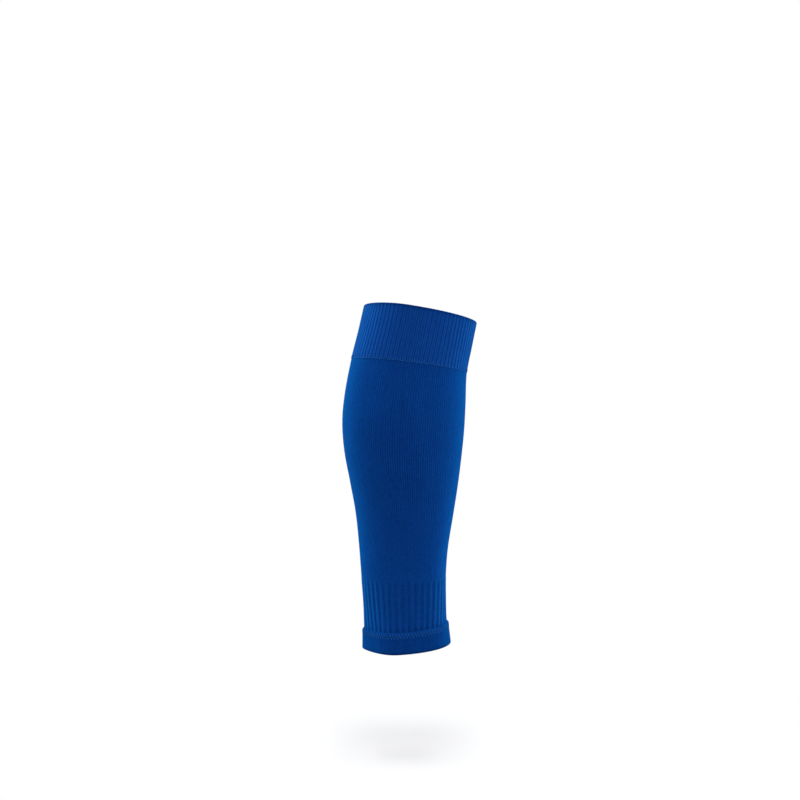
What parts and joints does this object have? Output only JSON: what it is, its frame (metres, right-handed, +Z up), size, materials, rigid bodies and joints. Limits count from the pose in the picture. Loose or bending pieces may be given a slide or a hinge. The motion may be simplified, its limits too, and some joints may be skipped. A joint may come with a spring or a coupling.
{
  "type": "footless football sock",
  "caption": "Footless football sock: a knitted sleeve for the lower leg, with a ribbed folded cuff, a plain calf, broad ankle ribs and a turned hem.",
  "frame": {"origin": "centre of the cuff's mouth, at the mean height of its upper edge, where the sleeve grips the leg just below the knee", "axes": "+Z up the leg, +X to the shin, -Y to the outer side of a right leg"},
  "size_m": [0.1343, 0.1182, 0.3404],
  "materials": {
    "cuff_knit": "royal blue fine rib knit, matt, folded double",
    "leg_knit": "royal blue plain knit, matt",
    "ankle_knit": "royal blue broad rib knit, matt",
    "hem_knit": "royal blue plain knit, matt, turned double and stitched"
  },
  "bodies": {
    "root": {"top_cuff": "cuff_knit", "leg_tube": "leg_knit", "ankle_rib": "ankle_knit", "bottom_hem": "hem_knit"}
  },
  "joints": []
}
